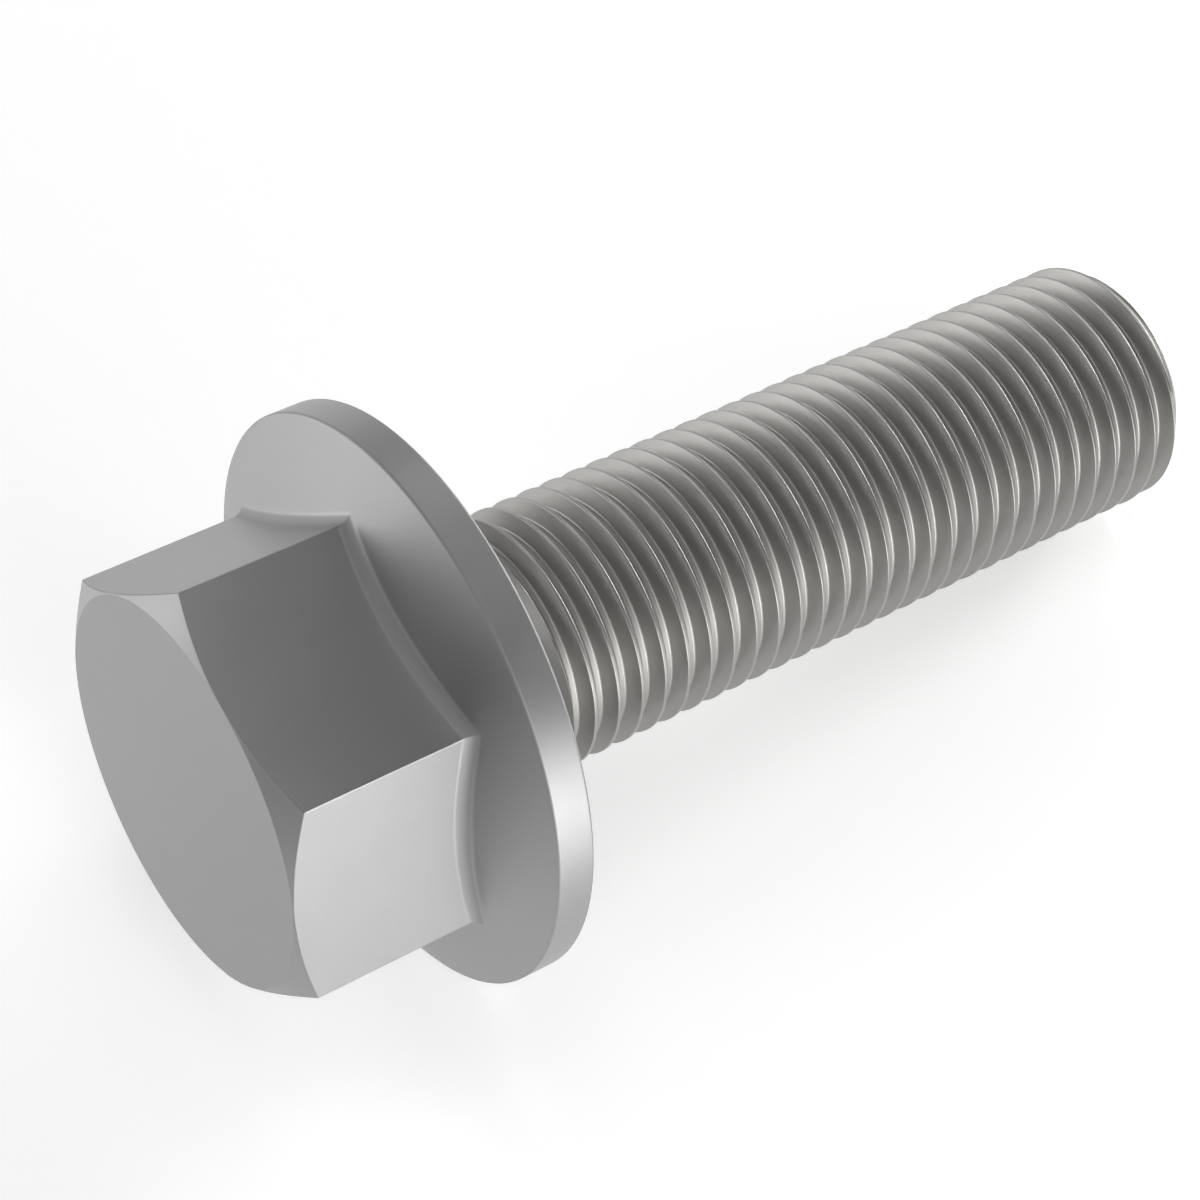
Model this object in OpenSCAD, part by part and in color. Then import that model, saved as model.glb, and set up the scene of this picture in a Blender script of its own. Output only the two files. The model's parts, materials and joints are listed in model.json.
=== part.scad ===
// Hexagon flange screw, threaded close up to the head, lying on its flange rim and on its thread.
// Millimetres, +Z up. The shank runs along +X and dips towards its point.
// The screw is drawn upright first, bearing face at z = 0, point upwards and head below.

/* [Thread] */
// Major diameter over the crests
thread_d = 11.96; // [9:0.02:14]
// Pitch of the thread
pitch = 1.25; // [1:0.25:1.75]
// Length from the bearing face to the end of the point
length = 40; // [25:1:60]
// Axial length of the 45 degree chamfer at the point
point_chamfer = 1; // [0.6:0.1:1.6]
// Angle past the ground line at which the last crest meets the chamfer
thread_turn = 220; // [0:5:355]

/* [Neck] */
// How much less the plain neck measures across than the crests
neck_drop = 0.77; // [0.5:0.01:1.2]
// Length of the plain neck from the bearing face
neck_length = 3.75; // [2:0.25:8]
// Radius of the fillet under the head
neck_fillet = 0.6; // [0.3:0.1:1]

/* [Flange] */
// Diameter of the flange
flange_d = 26.6; // [25:0.1:32]
// Height of the cylindrical rim
rim_height = 1.8; // [1.2:0.1:3]
// Slope of the flange's upper face
flange_slope = 22.5; // [12:0.5:28]
// Radius that breaks the two edges of the rim
rim_edge = 0.15; // [0.1:0.05:0.3]

/* [Hexagon] */
// Width across the flats
across_flats = 18; // [16:0.5:20]
// Height of the head from the bearing face to the top
head_height = 11.8; // [9:0.1:16]
// Slope of the chamfer round the top face
top_slope = 30; // [15:1:35]
// Turn of the hexagon about the axis, from the ground line
hexagon_turn = 44.5; // [0:0.5:60]
// Radius of the fillet at the foot of the hexagon, square to its flats
foot_fillet = 0.8; // [0.2:0.05:1]

/* [Hidden] */
// Radii of the plain shapes
thread_r = thread_d / 2;
neck_r = (thread_d - neck_drop) / 2;
point_r = thread_r - point_chamfer;
flange_r = flange_d / 2;
flat_r = across_flats / 2;
corner_r = flat_r / cos(30);
// Basic 60 degree profile: crest flat, flank, root flat, flank
crest_w = pitch / 8;
root_w = pitch / 4;
flank_w = (pitch - crest_w - root_w) / 2;
root_r = thread_r - flank_w * tan(60);
// Where the chamfer starts, and the far edge of the last crest on the ground line
point_z = length - point_chamfer;
last_crest_z = point_z - pitch * thread_turn / 360;
// Rest: the line that touches the rim's edge and the last crest
crest_drop = flange_r - rim_edge - thread_r;
crest_span = last_crest_z + rim_edge;
rest_tilt = atan2(crest_drop, crest_span) + asin(rim_edge / norm([crest_drop, crest_span]));
rest_height = (flange_r - rim_edge) * cos(rest_tilt) - rim_edge * sin(rest_tilt) + rim_edge;
// The middle of the lying screw along X
front_x = length * cos(rest_tilt) + point_r * sin(rest_tilt);
back_x = head_height * cos(rest_tilt) + flat_r * sin(rest_tilt);
middle_x = (front_x - back_x) / 2;
// Steps round one turn of the thread
steps = 36;
// The thread is drawn from under the neck to past the point
hidden_z = neck_length - pitch - 0.3;
first_crest_z = last_crest_z - crest_w - pitch * ceil((last_crest_z - crest_w - hidden_z) / pitch);
turns = ceil((length + 0.1 + flank_w - first_crest_z) / pitch);
last_step = turns * steps;
// Reach of a shape past what shows of it
spare = 0.8;
// How far a fillet's edges run on past the faces that they meet, and how deep they dip there
lap = 0.12;
dip = 0.02;

// Points on an arc in the radial plane
function arc(x, z, r, from, to, n) = [
    for (i = [0 : n])
        let (a = from + (to - from) * i / n)
        [x + r * cos(a), z + r * sin(a)]
];

// One corner of the thread's profile at a step along the helix
function thread_corner(i, j) =
    let (z = first_crest_z + pitch * i / steps + [0, crest_w, crest_w + flank_w, pitch - flank_w][j])
    let (r = j < 2 ? thread_r : root_r)
    [r * cos(360 * i / steps), r * sin(360 * i / steps), z];

function corner_index(i, j) = 4 * i + j;

// Height of the flange's upper face at a radius
function flange_z(r) = -rim_height - (flange_r - r) * tan(flange_slope);

// Radius of the hexagon's side at an angle from one corner
function side_r(a) = flat_r / cos((a % 60) - 30);

// Right-hand thread as one closed helical solid, longer at both ends than what shows
module thread_rod() {
    points = [
        for (i = [0 : last_step], j = [0 : 3]) thread_corner(i, j),
        [0, 0, first_crest_z - spare],
        [0, 0, first_crest_z + pitch * (turns + 1) + spare]
    ];
    low = 4 * (last_step + 1);
    high = low + 1;
    end = last_step - steps;
    faces = [
        for (i = [0 : last_step - 1], j = [0 : 2]) each [
            [corner_index(i, j), corner_index(i, j + 1), corner_index(i + 1, j + 1)],
            [corner_index(i, j), corner_index(i + 1, j + 1), corner_index(i + 1, j)]
        ],
        for (i = [0 : end - 1]) each [
            [corner_index(i, 3), corner_index(i + steps, 0), corner_index(i + steps + 1, 0)],
            [corner_index(i, 3), corner_index(i + steps + 1, 0), corner_index(i + 1, 3)]
        ],
        for (i = [0 : steps - 1]) [low, corner_index(i, 0), corner_index(i + 1, 0)],
        for (j = [0 : 2]) [low, corner_index(0, j + 1), corner_index(0, j)],
        [low, corner_index(steps, 0), corner_index(0, 3)],
        for (i = [end : last_step - 1]) [high, corner_index(i + 1, 3), corner_index(i, 3)],
        for (j = [0 : 2]) [high, corner_index(last_step, j), corner_index(last_step, j + 1)],
        [high, corner_index(end, 3), corner_index(last_step, 0)]
    ];
    polyhedron(points = points, faces = faces, convexity = 20);
}

// The turned outline that ends the thread: a rising cone at the neck and the chamfered point
module thread_outline() {
    out_r = thread_r + spare;
    in_r = neck_r - 3 * spare;
    rotate_extrude($fn = 96)
        polygon([
            [0, neck_length + in_r - neck_r],
            [in_r, neck_length + in_r - neck_r],
            [out_r, neck_length + out_r - neck_r],
            [out_r, length + point_r - out_r],
            [point_r, length],
            [0, length]
        ]);
}

// Flange, rim, bearing face, fillet and neck, turned in one piece
module flange_and_neck() {
    core_r = flat_r * 2 / 3;
    edge_r = flange_r - rim_edge;
    upper_z = flange_z(edge_r) + rim_edge / cos(flange_slope);
    neck_end = neck_length + lap / 2;
    rotate_extrude($fn = 120)
        polygon(concat(
            [[0, flange_z(core_r)], [core_r, flange_z(core_r)]],
            arc(edge_r, upper_z, rim_edge, 270 + flange_slope, 360, 3),
            arc(edge_r, -rim_edge, rim_edge, 0, 90, 3),
            arc(neck_r + neck_fillet, neck_fillet, neck_fillet, 270, 180, 4),
            [[neck_r, neck_end], [neck_r - spare, neck_end + spare], [0, neck_end + spare]]
        ));
}

// Hexagon with its flats and the turned chamfer round its top face
module hexagon() {
    out_r = corner_r + spare;
    intersection() {
        translate([0, 0, -head_height])
            cylinder(r = corner_r, h = head_height - rim_height / 2, $fn = 6);
        rotate_extrude($fn = 96)
            polygon([
                [0, -head_height],
                [flat_r, -head_height],
                [out_r, (out_r - flat_r) * tan(top_slope) - head_height],
                [out_r, 0],
                [0, 0]
            ]);
    }
}

// Section of the foot's fillet where the hexagon's side has radius r, drawn square to the flat
function foot_section(r) =
    let (spread = r / flat_r)
    let (slope = atan(tan(flange_slope) * spread))
    let (x = flat_r + foot_fillet)
    let (z = flange_z(x * spread) - foot_fillet / cos(slope))
    let (turn = 90 - slope)
    let (end = [x + foot_fillet * cos(90 + slope), z + foot_fillet * sin(90 + slope)])
    let (section = concat(
        [[flat_r - spare, z - lap], [flat_r - dip, z - lap]],
        arc(x, z, foot_fillet, 180 - turn / 4, 180 - turn * 3 / 4, 2),
        [[end[0] + lap * cos(slope), end[1] + lap * sin(slope) + dip]],
        [[flat_r - spare, end[1] + spare]]
    ))
    [for (p = section) [p[0] * spread, p[1]]];

// Fillet that runs round the foot of the hexagon on the sloping flange
module foot() {
    rows = 48;
    sides = 7;
    points = [
        for (i = [0 : rows - 1])
            let (a = 360 * i / rows)
            for (p = foot_section(side_r(a))) [p[0] * cos(a), p[0] * sin(a), p[1]]
    ];
    faces = [
        for (i = [0 : rows - 1], k = [0 : sides - 1])
            let (n = (i + 1) % rows, m = (k + 1) % sides)
            each [
                [sides * i + k, sides * i + m, sides * n + m],
                [sides * i + k, sides * n + m, sides * n + k]
            ]
    ];
    polyhedron(points = points, faces = faces, convexity = 6);
}

// The whole screw, one forged and rolled piece
module flange_screw() {
    color([0.62, 0.62, 0.61])
    translate([-middle_x, 0, rest_height])
    rotate([0, 90 + rest_tilt, 0])
    union() {
        flange_and_neck();
        rotate([0, 0, hexagon_turn]) {
            hexagon();
            foot();
        }
        intersection() {
            thread_rod();
            thread_outline();
        }
    }
}

flange_screw();
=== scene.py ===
"""A hexagon flange screw that lies on its flange rim and on its thread, in a plain pale studio.

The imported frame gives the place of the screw. This file adds the finely made screw that stands for the CAD
solid, its satin steel, the floor, the lamps and the camera. Lengths are metres, and MM turns millimetres
into them.
"""

import json
import math

import bmesh
import bpy
import numpy as np
from bpy.props import FloatProperty, FloatVectorProperty, PointerProperty
from mathutils import Matrix, Vector


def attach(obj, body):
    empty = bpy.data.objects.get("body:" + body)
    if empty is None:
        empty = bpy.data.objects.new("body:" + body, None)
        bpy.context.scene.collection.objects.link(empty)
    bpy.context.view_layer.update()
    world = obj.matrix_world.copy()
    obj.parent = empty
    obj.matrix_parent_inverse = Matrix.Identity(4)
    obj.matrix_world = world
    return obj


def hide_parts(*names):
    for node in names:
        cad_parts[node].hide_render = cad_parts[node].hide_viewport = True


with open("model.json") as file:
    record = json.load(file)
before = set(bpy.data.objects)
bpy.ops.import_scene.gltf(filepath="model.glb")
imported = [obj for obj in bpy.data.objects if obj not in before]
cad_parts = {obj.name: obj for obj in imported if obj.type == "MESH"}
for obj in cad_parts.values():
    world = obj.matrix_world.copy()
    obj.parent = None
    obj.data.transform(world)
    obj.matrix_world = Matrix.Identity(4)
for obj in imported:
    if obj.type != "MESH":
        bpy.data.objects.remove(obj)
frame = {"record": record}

bl_info = {
    "name": "Hexagon flange screw",
    "version": (1, 0, 0),
    "blender": (4, 5, 0),
    "location": "3D View > Sidebar > Screw",
    "description": "Builds the flange screw with its thread and its steel, and the studio round it",
    "category": "Object",
}

# Metres in a millimetre, and the most that a lamp's strength can be set to
MM = 0.001
BRIGHTEST = 20.0


def length_property(name, description, default_mm, low_mm=0.01, high_mm=80.0):
    """A length in metres whose default and limits are given in millimetres."""
    return FloatProperty(
        name=name,
        description=description,
        default=default_mm * MM,
        min=low_mm * MM,
        max=high_mm * MM,
        subtype="DISTANCE",
        unit="LENGTH",
        precision=5,
    )


def angle_property(name, description, default_degrees):
    """An angle in radians whose default is given in degrees."""
    return FloatProperty(
        name=name,
        description=description,
        default=math.radians(default_degrees),
        subtype="ANGLE",
        unit="ROTATION",
    )


def share_property(name, description, default, high=1.0):
    """A plain number from nothing to high."""
    return FloatProperty(name=name, description=description, default=default, min=0.0, max=high)


def lamp_property(name, which, default):
    """How bright one lamp is."""
    return share_property(name, f"Brightness of the {which}", default, BRIGHTEST)


def colour_property(name, description, default):
    """A colour without alpha."""
    return FloatVectorProperty(
        name=name, description=description, default=default, min=0.0, max=1.0, size=3, subtype="COLOR"
    )


class ScrewSizes(bpy.types.PropertyGroup):
    """Sizes of the screw, the same as in the solid, with the small roundings that only this model has."""

    thread_d: length_property("Thread diameter", "Major diameter over the crests", 11.96)
    pitch: length_property("Pitch", "Pitch of the right-hand thread", 1.25)
    length: length_property("Length", "From the bearing face to the end of the point", 40.0)
    point_chamfer: length_property("Point chamfer", "Axial length of the 45 degree chamfer", 1.0)
    thread_turn: angle_property("Thread turn", "Angle at which the last crest meets the chamfer", 220.0)
    crest_round: length_property("Crest rounding", "Radius on the edges of the crest", 0.05)
    root_round: length_property("Root rounding", "Radius in the corners of the root", 0.13)
    neck_drop: length_property("Neck drop", "How much less the neck measures across than the crests", 0.77)
    neck_length: length_property("Neck length", "Plain neck from the bearing face", 3.75)
    neck_fillet: length_property("Neck fillet", "Radius under the head", 0.6)
    flange_d: length_property("Flange diameter", "Diameter of the flange", 26.6)
    rim_height: length_property("Rim height", "Height of the cylindrical rim", 1.8)
    flange_slope: angle_property("Flange slope", "Slope of the flange's upper face", 22.5)
    rim_edge: length_property("Rim edge", "Radius on the two edges of the rim", 0.15)
    across_flats: length_property("Across flats", "Width of the hexagon over its flats", 18.0)
    head_height: length_property("Head height", "From the bearing face to the top face", 11.8)
    top_slope: angle_property("Top chamfer", "Slope of the chamfer round the top face", 30.0)
    hexagon_turn: angle_property("Hexagon turn", "Turn of the hexagon from the ground line", 44.5)
    foot_fillet: length_property("Foot fillet", "Radius at the foot of the hexagon", 0.8)
    corner_round: length_property("Corner rounding", "Radius on the six long corners", 0.1)
    top_round: length_property("End rounding", "Radius on the edges of the top face and of the point", 0.1)


class SteelFinish(bpy.types.PropertyGroup):
    """Colours and gloss of the steel."""

    head_colour: colour_property("Head colour", "Forged head", (0.35, 0.35, 0.35))
    shank_colour: colour_property("Shank colour", "Flanks and crests of the thread", (0.34, 0.334, 0.323))
    # Painted light: the grooves get a paler colour than the flanks, which stands in for light in the thread's
    # roots
    groove_painted_light: colour_property("Groove colour", "Bottom of the thread's grooves", (0.39, 0.382, 0.366))
    # Painted light: the neck gets a near-white colour that stands in for the bright surroundings it reflects
    neck_painted_light: colour_property("Neck colour", "Bright neck under the head", (0.85, 0.84, 0.82))
    head_roughness: share_property("Head roughness", "Satin of the forged head", 0.45)
    shank_roughness: share_property("Shank roughness", "Gloss that rolling gave the thread", 0.4)
    groove_roughness: share_property("Groove roughness", "Roughness added in the grooves", 0.12)
    rounding_roughness: share_property("Rounding roughness", "Roughness added on the head's roundings", 0.25)
    mottle: share_property("Mottle", "How much the tone varies over the surface", 0.03)
    relief: share_property("Relief", "Strength of the grain's bumps", 0.03)


class StudioLight(bpy.types.PropertyGroup):
    """Tone of the floor and strength of the light."""

    floor_colour: colour_property("Floor colour", "Pale floor", (0.93, 0.93, 0.93))
    floor_roughness: share_property("Floor roughness", "Gloss of the floor", 0.2)
    floor_glow: share_property("Floor glow", "Added to the floor for the camera and in reflections", 0.35)
    sky: share_property("Sky", "Brightness of the surroundings, where 1 is white", 0.02, 4.0)
    front_near: lamp_property("Near front lamp", "small low lamp in front", 9.1)
    front_tall: lamp_property("Tall front lamp", "tall lamp in front", 1.4)
    right_near: lamp_property("Near right lamp", "small low lamp on the right", 7.0)
    right_far: lamp_property("Far right lamp", "low lamp on the right", 8.0)
    back_right: lamp_property("Back right lamp", "lamp behind on the right", 1.6)
    back_middle: lamp_property("Back middle lamp", "low wide lamp behind", 0.7)
    back_low: lamp_property("Low back left lamp", "low wide lamp behind on the left", 2.0)
    back_left: lamp_property("Back left lamp", "raised lamp behind on the left", 4.0)
    left: lamp_property("Left lamp", "lamp on the left", 1.2)
    top: lamp_property("Top lamp", "lamp overhead", 2.0)


# Shader maths


def find_socket(sockets, key):
    """A node's socket by its place in the list, or by its identifier or name."""
    if isinstance(key, int):
        return sockets[key]
    return next(s for s in sockets if key in (s.identifier, s.name))


class Value:
    """One output socket, on which sums are written as Python expressions."""

    def __init__(self, graph, socket):
        self.graph = graph
        self.socket = socket

    def math(self, operation, first, second=0.0, clamp=False):
        settings = {"operation": operation, "use_clamp": clamp}
        return self.graph.node("ShaderNodeMath", settings, {0: first, 1: second})

    def __add__(self, other):
        return self.math("ADD", self, other)

    def __radd__(self, other):
        return self.math("ADD", other, self)

    def __sub__(self, other):
        return self.math("SUBTRACT", self, other)

    def __rsub__(self, other):
        return self.math("SUBTRACT", other, self)

    def __mul__(self, other):
        return self.math("MULTIPLY", self, other)

    def __rmul__(self, other):
        return self.math("MULTIPLY", other, self)

    def clamped(self):
        """This value kept between 0 and 1."""
        return self.math("ADD", self, 0.0, clamp=True)

    def unsigned(self):
        """This value without its sign."""
        return self.math("ABSOLUTE", self)


class Graph:
    """The nodes of one material or world."""

    def __init__(self, tree):
        self.tree = tree
        tree.nodes.clear()

    def node(self, kind, settings=None, inputs=None, output=0):
        """Adds a node, sets its settings first and then its sockets, and returns one of its outputs."""
        node = self.tree.nodes.new(kind)
        for name, setting in (settings or {}).items():
            setattr(node, name, setting)
        for key, value in (inputs or {}).items():
            socket = find_socket(node.inputs, key)
            if isinstance(value, Value):
                self.tree.links.new(value.socket, socket)
            else:
                socket.default_value = value
        return Value(self, find_socket(node.outputs, output)) if len(node.outputs) else None

    def smooth_step(self, value, low, high):
        """0 below low and 1 above high, with a soft change between them."""
        settings = {"interpolation_type": "SMOOTHSTEP"}
        return self.node("ShaderNodeMapRange", settings, {"Value": value, "From Min": low, "From Max": high})

    def mix_colour(self, factor, first, second):
        """A colour between two others."""
        settings = {"data_type": "RGBA"}
        inputs = {"Factor_Float": factor, "A_Color": first, "B_Color": second}
        return self.node("ShaderNodeMix", settings, inputs, "Result_Color")

    def toned(self, colour, tone):
        """A colour made darker or lighter by a tone, from half of it at 0.5 to one and a half at 1.5."""
        dark, light = ((*(share * part for part in colour), 1.0) for share in (0.5, 1.5))
        return self.mix_colour(tone - 0.5, dark, light)

    def scaled(self, vector, scales):
        """A vector with each part multiplied by its own scale."""
        return self.node("ShaderNodeVectorMath", {"operation": "MULTIPLY"}, {0: vector, 1: scales})

    def noise(self, vector, scale, detail, roughness):
        """Fractal noise about 0."""
        inputs = {"Vector": vector, "Scale": scale, "Detail": detail, "Roughness": roughness}
        return self.node("ShaderNodeTexNoise", None, inputs, "Fac") - 0.5


# Where the screw lies


def screw_matrix(sizes):
    """From an upright screw, bearing face at the origin and point upwards, to where the frame's lies."""
    mount = next(m for m in frame["record"]["mounts"] if m["name"] == "thread")
    axis = Vector(mount["axis"]).normalized()
    side = Vector((0.0, 1.0, 0.0))
    ground = side.cross(axis)
    origin = Vector(mount["pos_m"]) - axis * sizes.length
    turn = Matrix((ground, side, axis)).transposed()
    return Matrix.Translation(origin) @ turn.to_4x4()


# Profiles

# An arc at a corner takes at most this share of the shorter side beside it
ARC_REACH = 0.45
# Steps in the arcs of the head's small edges, of its foot, of the rim, of the neck's fillet and of the point
EDGE_STEPS, FOOT_STEPS, RIM_STEPS, NECK_STEPS, POINT_STEPS = 3, 8, 4, 5, 3
# The top face ends this far inside the flats, and is a ring from this share of their radius on
FACE_INSET = 0.05 * MM
FACE_INNER = 0.6
# The head's part of the bearing face is a ring from this share of the flange's radius on
BEARING_INNER = 0.9
# Columns of the head near a corner and between corners, in degrees from the corner
NEAR_CORNER = (0.0, 0.09, 0.18, 0.28, 0.5, 0.9)
COLUMN_TURN = 1.5
SIDE_TURN = 60.0


def rounded(corners):
    """(point, direction) pairs on a line through corners, with an arc at each inner corner.

    A corner is its distance from the axis, its height, the radius of its arc and the arc's steps.
    """
    line = [(Vector(corners[0][:2]), (Vector(corners[1][:2]) - Vector(corners[0][:2])).normalized())]
    for before, here, after in zip(corners, corners[1:], corners[2:]):
        corner, radius, steps = Vector(here[:2]), here[2], here[3]
        back, ahead = Vector(before[:2]) - corner, Vector(after[:2]) - corner
        half = (math.pi - back.angle(ahead)) / 2
        reach = min(radius * math.tan(half), ARC_REACH * back.length, ARC_REACH * ahead.length)
        back, ahead = back.normalized(), ahead.normalized()
        middle = corner + (back + ahead).normalized() * reach / math.sin(half)
        start, end = corner + back * reach - middle, corner + ahead * reach - middle
        for i in range(steps + 1):
            rest, turn = 2 * half * (1 - i / steps), 2 * half * i / steps
            point = middle + (start * math.sin(rest) + end * math.sin(turn)) / math.sin(2 * half)
            line.append((point, (end * math.cos(turn) - start * math.cos(rest)).normalized()))
    return line + [(Vector(corners[-1][:2]), line[-1][1])]


def side_radius(sizes, angle):
    """Radius of the hexagon's side at an angle from one corner, with the corner rounded."""
    flat_r, sixth = sizes.across_flats / 2, math.pi / 3
    offset = (angle + sixth / 2) % sixth - sixth / 2
    middle = (flat_r - sizes.corner_round) / math.cos(sixth / 2)
    reach = math.atan2(sizes.corner_round / 2, middle + sizes.corner_round * math.cos(sixth / 2))
    if abs(offset) < reach:
        return middle * math.cos(offset) + math.sqrt(sizes.corner_round**2 - (middle * math.sin(offset)) ** 2)
    return flat_r / math.cos(sixth / 2 - abs(offset))


def head_angles():
    """Angles of the head's columns from one corner, close together on each rounded corner."""
    between = [COLUMN_TURN * i for i in range(1, round(SIDE_TURN / COLUMN_TURN))]
    steps = [*NEAR_CORNER, *between, *(SIDE_TURN - a for a in reversed(NEAR_CORNER[1:]))]
    return [math.radians(SIDE_TURN * side + step) for side in range(6) for step in steps]


def head_profile(sizes, angle):
    """The head's outline at one angle, from the top face round the flange to the bearing face."""
    flat_r, flange_r = sizes.across_flats / 2, sizes.flange_d / 2
    side = side_radius(sizes, angle)
    square = flat_r / side
    top_z, face_r = -sizes.head_height, flat_r - FACE_INSET

    def slope_z(r):
        return -sizes.rim_height - (flange_r - r) * math.tan(sizes.flange_slope)

    middle_r = (side + flange_r) / 2
    hexagon = [
        (FACE_INNER * flat_r, top_z, 0.0, 0),
        (face_r, top_z, sizes.top_round, EDGE_STEPS),
        (side, top_z + (side - face_r) * math.tan(sizes.top_slope), sizes.top_round, EDGE_STEPS),
        (side, slope_z(side), sizes.foot_fillet, FOOT_STEPS),
        (middle_r, slope_z(middle_r), 0.0, 0),
    ]
    # The roundings of the hexagon are measured square to its flats
    line = rounded([(x * square, z, radius, steps) for x, z, radius, steps in hexagon])
    line = [(Vector((p[0] / square, p[1])), Vector((d[0] / square, d[1])).normalized()) for p, d in line]
    flange = [
        (middle_r, slope_z(middle_r), 0.0, 0),
        (flange_r, -sizes.rim_height, sizes.rim_edge, RIM_STEPS),
        (flange_r, 0.0, sizes.rim_edge, RIM_STEPS),
        (BEARING_INNER * flange_r, 0.0, 0.0, 0),
    ]
    return line[:-1] + rounded(flange)


class ThreadForm:
    """The thread's surface round the shank: one pitch of its profile, wound up the helix."""

    def __init__(self, sizes):
        # Basic profile of 60 degrees: crest flat, flank, root flat, flank
        crest, root = sizes.pitch / 8, sizes.pitch / 4
        flank = (sizes.pitch - crest - root) / 2
        crest_r = sizes.thread_d / 2
        root_r = crest_r - flank * math.tan(math.radians(60))
        self.pitch = sizes.pitch

        def profile(root_steps, crest_steps):
            return rounded(
                [
                    (0.0, root_r, 0.0, 0),
                    (root / 2, root_r, sizes.root_round, root_steps),
                    (root / 2 + flank, crest_r, sizes.crest_round, crest_steps),
                    (root / 2 + flank + crest, crest_r, sizes.crest_round, crest_steps),
                    (root / 2 + 2 * flank + crest, root_r, sizes.root_round, root_steps),
                    (self.pitch, root_r, 0.0, 0),
                ]
            )

        self.coarse = profile(root_steps=4, crest_steps=3)
        self.fine = profile(root_steps=12, crest_steps=6)
        last_crest = sizes.length - sizes.point_chamfer - self.pitch * sizes.thread_turn / (2 * math.pi)
        self.start = last_crest - (root / 2 + flank + crest)
        self.neck_r = crest_r - sizes.neck_drop / 2
        self.neck_end = sizes.neck_length
        self.point_r = crest_r - sizes.point_chamfer
        self.length = sizes.length

    def rows(self, low, high, line, parts):
        """Heights at angle 0 of the helical rows from low to high, with each long step cut into parts."""
        steps = []
        long_step = self.pitch / 10
        for (a, _), (b, _) in zip(line, line[1:]):
            count = parts if b[0] - a[0] > long_step else 1
            steps += [a[0] + (b[0] - a[0]) * i / count for i in range(count)]
        first = math.floor((low - self.start) / self.pitch) - 1
        last = math.ceil((high - self.start) / self.pitch)
        turns = range(first, last + 1)
        return np.array([self.start + turn * self.pitch + step for turn in turns for step in steps])

    def surface(self, angle, height):
        """The shank's radius, with neck and chamfered point, and its change with height and with angle."""
        lead = self.pitch / (2 * math.pi)
        along = np.mod(height - self.start - lead * angle, self.pitch)
        heights, radii = [p[0] for p, _ in self.fine], [p[1] for p, _ in self.fine]
        radius = np.interp(along, heights, radii)
        slope = np.tan(np.interp(along, heights, [math.atan2(d[1], d[0]) for _, d in self.fine]))
        twist = -lead * slope
        past_neck = height - self.neck_end
        # The cone that rises out of the neck, the point's chamfer, and the cone that ends the neck
        for other, rise, wins in (
            (self.neck_r + past_neck, 1.0, np.less),
            (self.point_r + self.length - height, -1.0, np.less),
            (self.neck_r - past_neck, -1.0, np.greater),
        ):
            other_wins = wins(other, radius)
            radius = np.where(other_wins, other, radius)
            slope = np.where(other_wins, rise, slope)
            twist = np.where(other_wins, 0.0, twist)
        return radius, slope, twist


# The mesh

# Points nearer than this are welded
WELD = 0.0005 * MM
# Turn to either side of a column, in radians, over which the head's lean round the axis is measured
SMALL_TURN = 1e-5
# Columns round the shank
SHANK_COLUMNS = 120
# Width of the ring of the bearing face that belongs to the shank, past the neck's fillet
BEARING_RING = 0.4 * MM
# The threaded rows end this far before the point's end, and its flat end is a ring from this share on
POINT_EDGE = 0.1 * MM
POINT_INNER = 0.6
# Pitches with finer rows where the thread rises from the neck and where it runs out
FINE_AT_NECK, FINE_AT_POINT = 1.2, 1.8
# Parts that a long step along the profile is cut into, in the finer rows and in the others
FINE_PARTS, COARSE_PARTS = 8, 2


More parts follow.
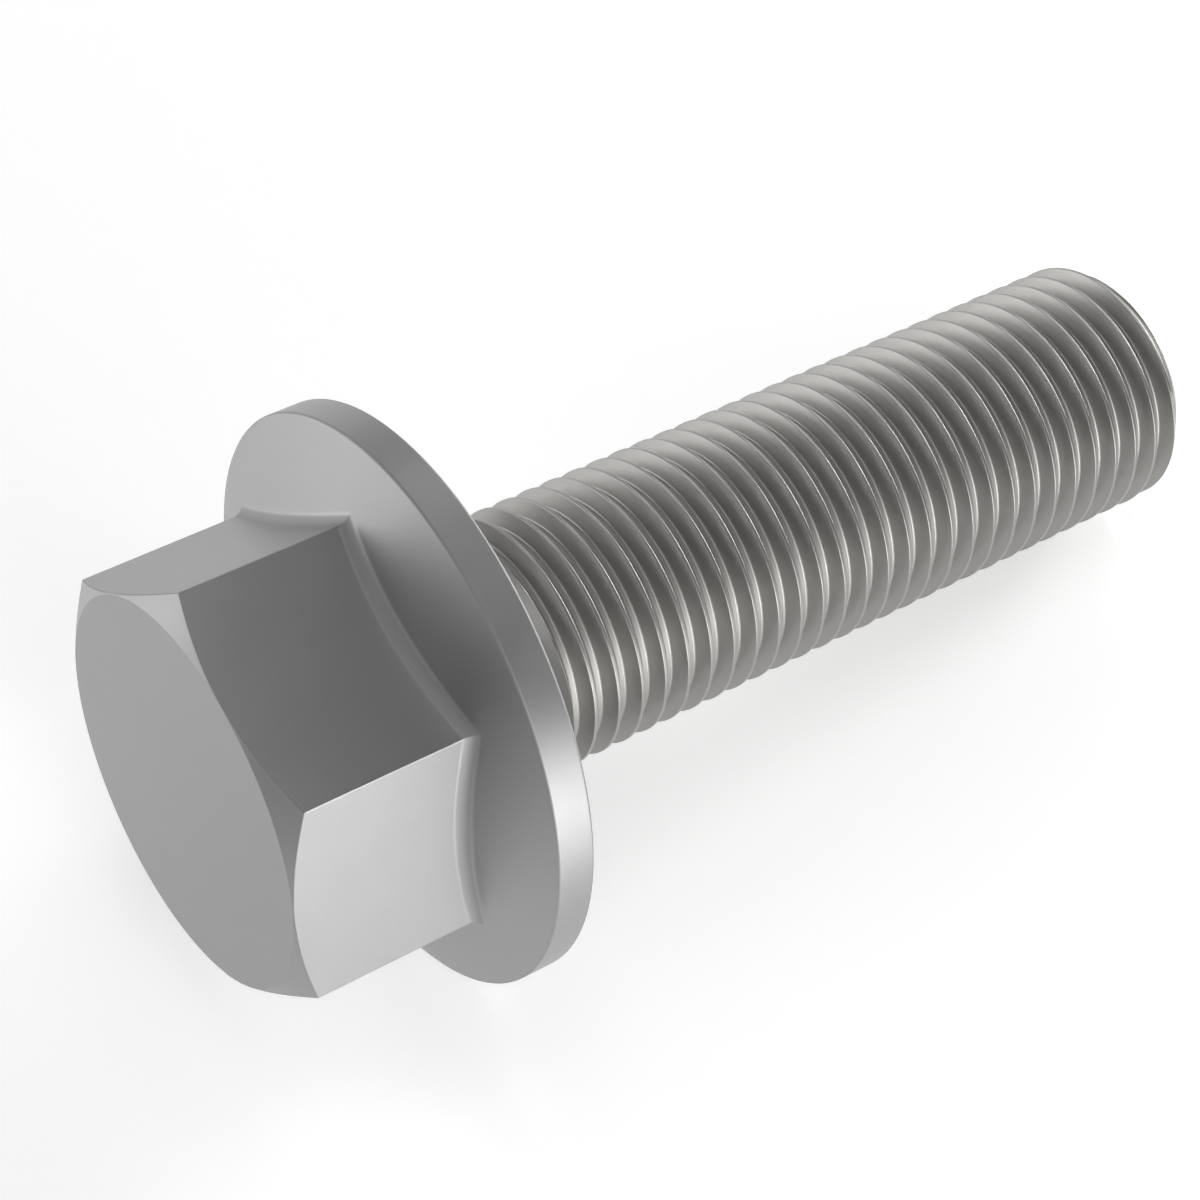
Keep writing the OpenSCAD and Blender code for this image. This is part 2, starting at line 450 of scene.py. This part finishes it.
class ScrewMesh:
    """Rings of points round the axis, joined into one closed skin."""

    def __init__(self, sizes):
        self.sizes = sizes
        self.mesh = bmesh.new()
        self.normal = self.mesh.verts.layers.float_vector.new("skin_normal")

    def vert(self, angle, radius, height, normal):
        """A point of the skin. The normal is its parts away from the axis, round it and along it."""
        c, s = math.cos(angle), math.sin(angle)
        vert = self.mesh.verts.new((radius * c, radius * s, height))
        away, around, along = normal
        vert[self.normal] = Vector((away * c - around * s, away * s + around * c, along)).normalized()
        return vert

    def turned_rings(self, angles, line):
        """Joined rings that turn a line of (point, direction) pairs round the axis."""
        rings = [[self.vert(a, *point, (d[1], 0.0, -d[0])) for a in angles] for point, d in line]
        self.join(rings)
        return rings

    def join(self, rings):
        """Quads between each ring and the next, which have the same count."""
        for first, second in zip(rings, rings[1:]):
            for i in range(len(first)):
                n = (i + 1) % len(first)
                self.mesh.faces.new((first[i], first[n], second[n], second[i]))

    def cap(self, ring, height):
        """A flat face from a ring to the axis."""
        middle = self.vert(0.0, 0.0, height, (0.0, 0.0, math.copysign(1.0, height)))
        for i, vert in enumerate(ring):
            self.mesh.faces.new((vert, ring[(i + 1) % len(ring)], middle))

    def zip_up(self, outer, outer_angles, inner, inner_angles):
        """Triangles between two rings of different counts, each from its own first point once round."""
        i = j = 0
        whole = 2 * math.pi
        outer_angles = [a - outer_angles[0] for a in outer_angles] + [whole]
        inner_angles = [a - inner_angles[0] for a in inner_angles] + [whole]
        while i < len(outer) or j < len(inner):
            a, b = outer[i % len(outer)], inner[j % len(inner)]
            if j == len(inner) or (i < len(outer) and outer_angles[i + 1] <= inner_angles[j + 1]):
                i += 1
                self.mesh.faces.new((a, outer[i % len(outer)], b))
            else:
                j += 1
                self.mesh.faces.new((a, inner[j % len(inner)], b))

    def head(self):
        """Top face, hexagon, flange and the outer part of the bearing face. Returns its inner ring."""
        sizes = self.sizes
        from_corner = head_angles()
        angles = [a + sizes.hexagon_turn for a in from_corner]
        columns = []
        for a, angle in zip(from_corner, angles):
            column = []
            near = zip(*(head_profile(sizes, a + offset) for offset in (-SMALL_TURN, 0.0, SMALL_TURN)))
            for (before, _), (point, direction), (after, _) in near:
                round_r, round_z = (after - before) / (2 * SMALL_TURN)
                around = Vector((round_r, point[0], round_z))
                along = Vector((direction[0], 0.0, direction[1]))
                column.append(self.vert(angle, *point, around.cross(along)))
            columns.append(column)
        rings = [list(ring) for ring in zip(*columns)]
        self.cap(rings[0], -sizes.head_height)
        self.join(rings)
        return rings[-1], angles

    def zone(self, form, low, high, line, parts):
        """Threaded skin between two heights, on rows that follow the helix."""
        turns = np.arange(SHANK_COLUMNS + 1)[:, None] / SHANK_COLUMNS
        heights = np.clip(form.rows(low, high, line, parts)[None, :] + form.pitch * turns, low, high)
        angles = 2 * math.pi * turns
        radii, slopes, twists = form.surface(angles, heights)
        grid = [
            [self.vert(angle, r, z, (1.0, -twist / r, -slope)) for r, z, slope, twist in zip(*column)]
            for angle, *column in zip(angles[:, 0], radii, heights, slopes, twists)
        ]
        for i in range(SHANK_COLUMNS):
            for k in range(len(grid[i]) - 1):
                corners = (heights[i, k], heights[i + 1, k], heights[i + 1, k + 1], heights[i, k + 1])
                if min(corners) < high and max(corners) > low:
                    self.mesh.faces.new((grid[i][k], grid[i + 1][k], grid[i + 1][k + 1], grid[i][k + 1]))

    def shank(self):
        """Neck, thread and point. Returns the ring on the bearing face where the head's part meets it."""
        sizes = self.sizes
        form = ThreadForm(sizes)
        angles = [2 * math.pi * i / SHANK_COLUMNS for i in range(SHANK_COLUMNS)]
        neck = rounded(
            [
                (form.neck_r + sizes.neck_fillet + BEARING_RING, 0.0, 0.0, 0),
                (form.neck_r, 0.0, sizes.neck_fillet, NECK_STEPS),
                (form.neck_r, sizes.neck_length, 0.0, 0),
            ]
        )
        point = rounded(
            [
                (form.point_r + POINT_EDGE, sizes.length - POINT_EDGE, 0.0, 0),
                (form.point_r, sizes.length, sizes.top_round, POINT_STEPS),
                (POINT_INNER * form.point_r, sizes.length, 0.0, 0),
            ]
        )
        neck_rings = self.turned_rings(angles, neck)
        point_rings = self.turned_rings(angles, point)
        self.cap(point_rings[-1], sizes.length)
        low, high = sizes.neck_length, sizes.length - POINT_EDGE
        fine_low, fine_high = low + FINE_AT_NECK * sizes.pitch, high - FINE_AT_POINT * sizes.pitch
        self.zone(form, low, fine_low, form.fine, FINE_PARTS)
        self.zone(form, fine_low, fine_high, form.coarse, COARSE_PARTS)
        self.zone(form, fine_high, high, form.fine, FINE_PARTS)
        return neck_rings[0], angles

    def finish(self, name, matrix):
        """Closes the seams and returns the object in the frame's place."""
        bmesh.ops.remove_doubles(self.mesh, verts=self.mesh.verts, dist=WELD)
        bmesh.ops.recalc_face_normals(self.mesh, faces=self.mesh.faces)
        open_edges = sum(not edge.is_manifold for edge in self.mesh.edges)
        if open_edges:
            raise RuntimeError(f"{name} has {open_edges} open edges")
        turn = matrix.to_3x3()
        normals = [turn @ vert[self.normal] for vert in self.mesh.verts]
        self.mesh.transform(matrix)
        self.mesh.verts.layers.float_vector.remove(self.normal)
        data = bpy.data.meshes.new(name)
        self.mesh.to_mesh(data)
        self.mesh.free()
        data.shade_smooth()
        data.normals_split_custom_set_from_vertices(normals)
        piece = bpy.data.objects.new(name, data)
        bpy.context.scene.collection.objects.link(piece)
        return piece


# Steel

# Stretches in millimetres from the bearing face over which the neck's painted light and the shank's steel
# take over
NECK_LIGHT_START, SHANK_START = (0.0, 0.4), (0.2, 1.2)
# Lengths in millimetres over which the neck's painted light fades before its end, and the grooves' painted
# light and roughness begin after it
NECK_LIGHT_FADE, GROOVE_START = 2.0, 0.8
# Depths in millimetres under the crests between which the groove's painted light and its added roughness take
# over
GROOVE_DEPTH = (0.05, 0.65)
# Lean where a rounding of the head starts and ends: 0 on a side, 1 on a face square to the axis
ROUNDING_START, ROUNDING_END = (0.02, 0.25), (0.72, 0.85)
# Noise of the soft clouds, of the fine grain and of the traces of rolling: scale, detail and roughness
CLOUD, GRAIN, ROLLED = (0.35, 4.0, 0.55), (9.0, 3.0, 0.6), (1.0, 4.0, 0.6)
# Scales across the shank and along it that draw the traces of rolling out round it
ROLLED_STRETCH = (0.9, 0.9, 5.0)
# Share of clouds, grain and traces of rolling in the tone, in the roughness and in the bumps
CLOUD_TONE, GRAIN_TONE, ROLLED_TONE = 2.0, 0.6, 2.0
CLOUD_GLOSS, GRAIN_GLOSS = 0.08, 0.04
GRAIN_BUMP, ROLLED_BUMP = 0.4, 0.6
BUMP_DEPTH = 0.05 * MM


def steel_material(sizes, finish, matrix):
    """Satin steel: a forged head with a fine even grain, and a rolled thread, warmer and glossier, with
    painted light on the neck and paler painted light in the thread's grooves.
    """
    material = bpy.data.materials.new("satin_steel")
    material.use_nodes = True
    graph = Graph(material.node_tree)

    # Place on the upright screw in millimetres
    place = graph.node("ShaderNodeTexCoord", None, None, "Object")
    settings = {"vector_type": "TEXTURE"}
    upright = {"Location": matrix.translation, "Rotation": matrix.to_euler(), "Scale": (MM, MM, MM)}
    here = graph.node("ShaderNodeMapping", settings, {"Vector": place, **upright})
    along = graph.node("ShaderNodeSeparateXYZ", None, {"Vector": here}, "Z")
    flat = graph.scaled(here, (1.0, 1.0, 0.0))
    out = graph.node("ShaderNodeVectorMath", {"operation": "LENGTH"}, {0: flat}, "Value")

    # Shank, the neck's painted light, and the grooves' painted light and roughness
    crest_mm, neck_mm = sizes.thread_d / 2 / MM, sizes.neck_length / MM
    shank = graph.smooth_step(along, *SHANK_START)
    # Painted light: the neck's mask, under which its colour is lightened towards near-white
    neck_light_fade = graph.smooth_step(along, neck_mm - NECK_LIGHT_FADE, neck_mm)
    neck = graph.smooth_step(along, *NECK_LIGHT_START) * (1.0 - neck_light_fade)
    depth = graph.smooth_step(crest_mm - out, *GROOVE_DEPTH)
    groove = depth * graph.smooth_step(along, neck_mm, neck_mm + GROOVE_START)

    # Roundings of the head: the foot's fillet and the rim's edges, where the skin leans but isn't a flat face
    normal = graph.node("ShaderNodeNewGeometry", None, None, "Normal")
    axis = tuple(matrix.col[2].xyz)
    lean = graph.node("ShaderNodeVectorMath", {"operation": "DOT_PRODUCT"}, {0: normal, 1: axis}, "Value")
    lean = lean.unsigned()
    leans = graph.smooth_step(lean, *ROUNDING_START) * (1.0 - graph.smooth_step(lean, *ROUNDING_END))
    rounding = leans * (1.0 - shank)

    cloud = graph.noise(here, *CLOUD)
    grain = graph.noise(here, *GRAIN)
    rolled = graph.noise(graph.scaled(here, ROLLED_STRETCH), *ROLLED) * shank
    tone = 1.0 + finish.mottle * (CLOUD_TONE * cloud + GRAIN_TONE * grain + ROLLED_TONE * rolled)
    head, thread = graph.toned(finish.head_colour, tone), graph.toned(finish.shank_colour, tone)
    colour = graph.mix_colour(shank, head, thread)
    # Painted light: the grooves are mixed towards a paler colour, which stands in for light in the thread's
    # roots
    colour = graph.mix_colour(groove, colour, (*finish.groove_painted_light, 1.0))
    # Painted light: the neck is mixed towards near-white, which stands in for the bright surroundings it
    # reflects
    colour = graph.mix_colour(neck, colour, (*finish.neck_painted_light, 1.0))
    roughness = finish.head_roughness + shank * (finish.shank_roughness - finish.head_roughness)
    roughness = roughness + CLOUD_GLOSS * cloud + GRAIN_GLOSS * grain
    roughness = roughness + finish.groove_roughness * groove + finish.rounding_roughness * rounding
    height = GRAIN_BUMP * grain + ROLLED_BUMP * rolled
    inputs = {"Strength": finish.relief, "Distance": BUMP_DEPTH, "Height": height}
    bump = graph.node("ShaderNodeBump", None, inputs)
    inputs = {"Base Color": colour, "Metallic": 1.0, "Roughness": roughness, "Normal": bump}
    shader = graph.node("ShaderNodeBsdfPrincipled", None, inputs)
    graph.node("ShaderNodeOutputMaterial", None, {"Surface": shader})
    return material


# The studio

# The lamps' places and sizes: azimuth and elevation in degrees, then distance, width and height in metres
LAMPS = {
    "front_near": (270, 10, 0.14, 0.07, 0.07),
    "front_tall": (270, 43, 0.36, 0.16, 0.31),
    "right_near": (0, 10, 0.14, 0.07, 0.07),
    "right_far": (0, 8, 0.6, 0.27, 0.27),
    "back_right": (36, 29, 0.35, 0.20, 0.20),
    "back_middle": (75, 8, 0.35, 0.34, 0.16),
    "back_low": (135, 8, 0.35, 0.34, 0.16),
    "back_left": (120, 31, 0.35, 0.16, 0.16),
    "left": (180, 31, 0.35, 0.16, 0.16),
    "top": (0, 85, 0.35, 0.16, 0.16),
}
# The floor reaches this far from its middle each way, in metres
FLOOR_REACH = 1.5
# The photograph's camera: focal length and sensor in millimetres, its place in metres, and its directions
LENS_MM, SENSOR_MM = 101.2011, 36.0
CAMERA_PLACE = (-0.048636, -0.066132, 0.13911)
CAMERA_RIGHT = (0.82830564, -0.56027651, 0.0)
CAMERA_AHEAD = (0.29724466, 0.43944271, -0.84766486)
# The camera sees nothing nearer or further than this, in metres
NEAREST, FURTHEST = 0.01, 10.0


def soft_lamp(name, brightness, azimuth, elevation, distance, width, height):
    """A rectangular lamp that points at the screw, which the camera doesn't see."""
    data = bpy.data.lights.new(name, "AREA")
    data.shape = "RECTANGLE"
    data.size, data.size_y = width, height
    data.energy = brightness * math.pi * width * height
    lamp = bpy.data.objects.new(name, data)
    level = distance * math.cos(math.radians(elevation))
    turn = math.radians(azimuth)
    rise = distance * math.sin(math.radians(elevation))
    lamp.location = Vector((level * math.cos(turn), level * math.sin(turn), rise))
    lamp.rotation_mode = "QUATERNION"
    lamp.rotation_quaternion = (-lamp.location).to_track_quat("-Z", "Y")
    lamp.visible_camera = False
    bpy.context.scene.collection.objects.link(lamp)
    return lamp


def pale_floor(colour, roughness, glow):
    """A wide floor of plain pale acrylic, made whiter for the camera and in the metal's reflections."""
    mesh = bmesh.new()
    bmesh.ops.create_grid(mesh, x_segments=1, y_segments=1, size=FLOOR_REACH)
    data = bpy.data.meshes.new("floor")
    mesh.to_mesh(data)
    mesh.free()
    floor = bpy.data.objects.new("floor", data)
    bpy.context.scene.collection.objects.link(floor)
    material = bpy.data.materials.new("pale_acrylic")
    material.use_nodes = True
    graph = Graph(material.node_tree)
    camera_ray, glossy_ray, transmission_ray = (
        graph.node("ShaderNodeLightPath", None, None, f"Is {kind} Ray")
        for kind in ("Camera", "Glossy", "Transmission")
    )
    seen = (camera_ray + glossy_ray + transmission_ray).clamped()
    white = graph.mix_colour(seen * glow, (0.0, 0.0, 0.0, 1.0), (1.0, 1.0, 1.0, 1.0))
    surface = {"Base Color": (*colour, 1.0), "Roughness": roughness}
    glowing = {"Emission Color": white, "Emission Strength": 1.0}
    shader = graph.node("ShaderNodeBsdfPrincipled", None, {**surface, **glowing})
    graph.node("ShaderNodeOutputMaterial", None, {"Surface": shader})
    data.materials.append(material)
    return floor


def surroundings(brightness):
    """Dim even light from the room round the lamps."""
    world = bpy.data.worlds.new("studio")
    world.use_nodes = True
    bpy.context.scene.world = world
    graph = Graph(world.node_tree)
    inputs = {"Color": (1.0, 1.0, 1.0, 1.0), "Strength": brightness}
    background = graph.node("ShaderNodeBackground", None, inputs)
    graph.node("ShaderNodeOutputWorld", None, {"Surface": background})


def photo_camera():
    """The camera at the photograph's angle, for a square picture."""
    data = bpy.data.cameras.new("camera")
    data.sensor_width = SENSOR_MM
    data.lens = LENS_MM
    data.clip_start, data.clip_end = NEAREST, FURTHEST
    camera = bpy.data.objects.new("camera", data)
    right, ahead = Vector(CAMERA_RIGHT), Vector(CAMERA_AHEAD)
    turn = Matrix((right, right.cross(ahead), -ahead)).transposed()
    camera.matrix_world = Matrix.Translation(CAMERA_PLACE) @ turn.to_4x4()
    bpy.context.scene.collection.objects.link(camera)
    bpy.context.scene.camera = camera
    return camera


# Operators


class SCREW_OT_screw(bpy.types.Operator):
    """Build the whole screw as one closed skin in satin steel"""

    bl_idname = "screw.screw"
    bl_label = "Flange screw"

    def execute(self, context):
        sizes = context.scene.screw_sizes
        matrix = screw_matrix(sizes)
        skin = ScrewMesh(sizes)
        skin.zip_up(*skin.head(), *skin.shank())
        piece = skin.finish("screw", matrix)
        piece.data.materials.append(steel_material(sizes, context.scene.steel_finish, matrix))
        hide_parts("flange_screw")
        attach(piece, "root")
        return {"FINISHED"}


class SCREW_OT_studio(bpy.types.Operator):
    """Set up the pale floor, the soft light and the camera"""

    bl_idname = "screw.studio"
    bl_label = "Studio"

    def execute(self, context):
        light = context.scene.studio_light
        pale_floor(light.floor_colour, light.floor_roughness, light.floor_glow)
        surroundings(light.sky)
        for name, place_and_size in LAMPS.items():
            soft_lamp(name, getattr(light, name), *place_and_size)
        photo_camera()
        context.scene.view_settings.view_transform = "Standard"
        return {"FINISHED"}


class SCREW_PT_panel(bpy.types.Panel):
    """The screw's builders and what a user may change"""

    bl_idname = "SCREW_PT_panel"
    bl_label = "Hexagon flange screw"
    bl_space_type = "VIEW_3D"
    bl_region_type = "UI"
    bl_category = "Screw"

    def draw(self, context):
        layout = self.layout
        for group in (context.scene.screw_sizes, context.scene.steel_finish, context.scene.studio_light):
            box = layout.box()
            for name in group.__annotations__:
                box.prop(group, name)
        layout.operator(SCREW_OT_screw.bl_idname)
        layout.operator(SCREW_OT_studio.bl_idname)


CLASSES = (ScrewSizes, SteelFinish, StudioLight, SCREW_OT_screw, SCREW_OT_studio, SCREW_PT_panel)


def register():
    for cls in CLASSES:
        bpy.utils.register_class(cls)
    bpy.types.Scene.screw_sizes = PointerProperty(type=ScrewSizes)
    bpy.types.Scene.steel_finish = PointerProperty(type=SteelFinish)
    bpy.types.Scene.studio_light = PointerProperty(type=StudioLight)


def unregister():
    del bpy.types.Scene.studio_light
    del bpy.types.Scene.steel_finish
    del bpy.types.Scene.screw_sizes
    for cls in reversed(CLASSES):
        bpy.utils.unregister_class(cls)


def main():
    """Builds the scene."""
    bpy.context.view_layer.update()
    register()
    bpy.ops.screw.studio()
    bpy.ops.screw.screw()


if __name__ == "__main__":
    main()
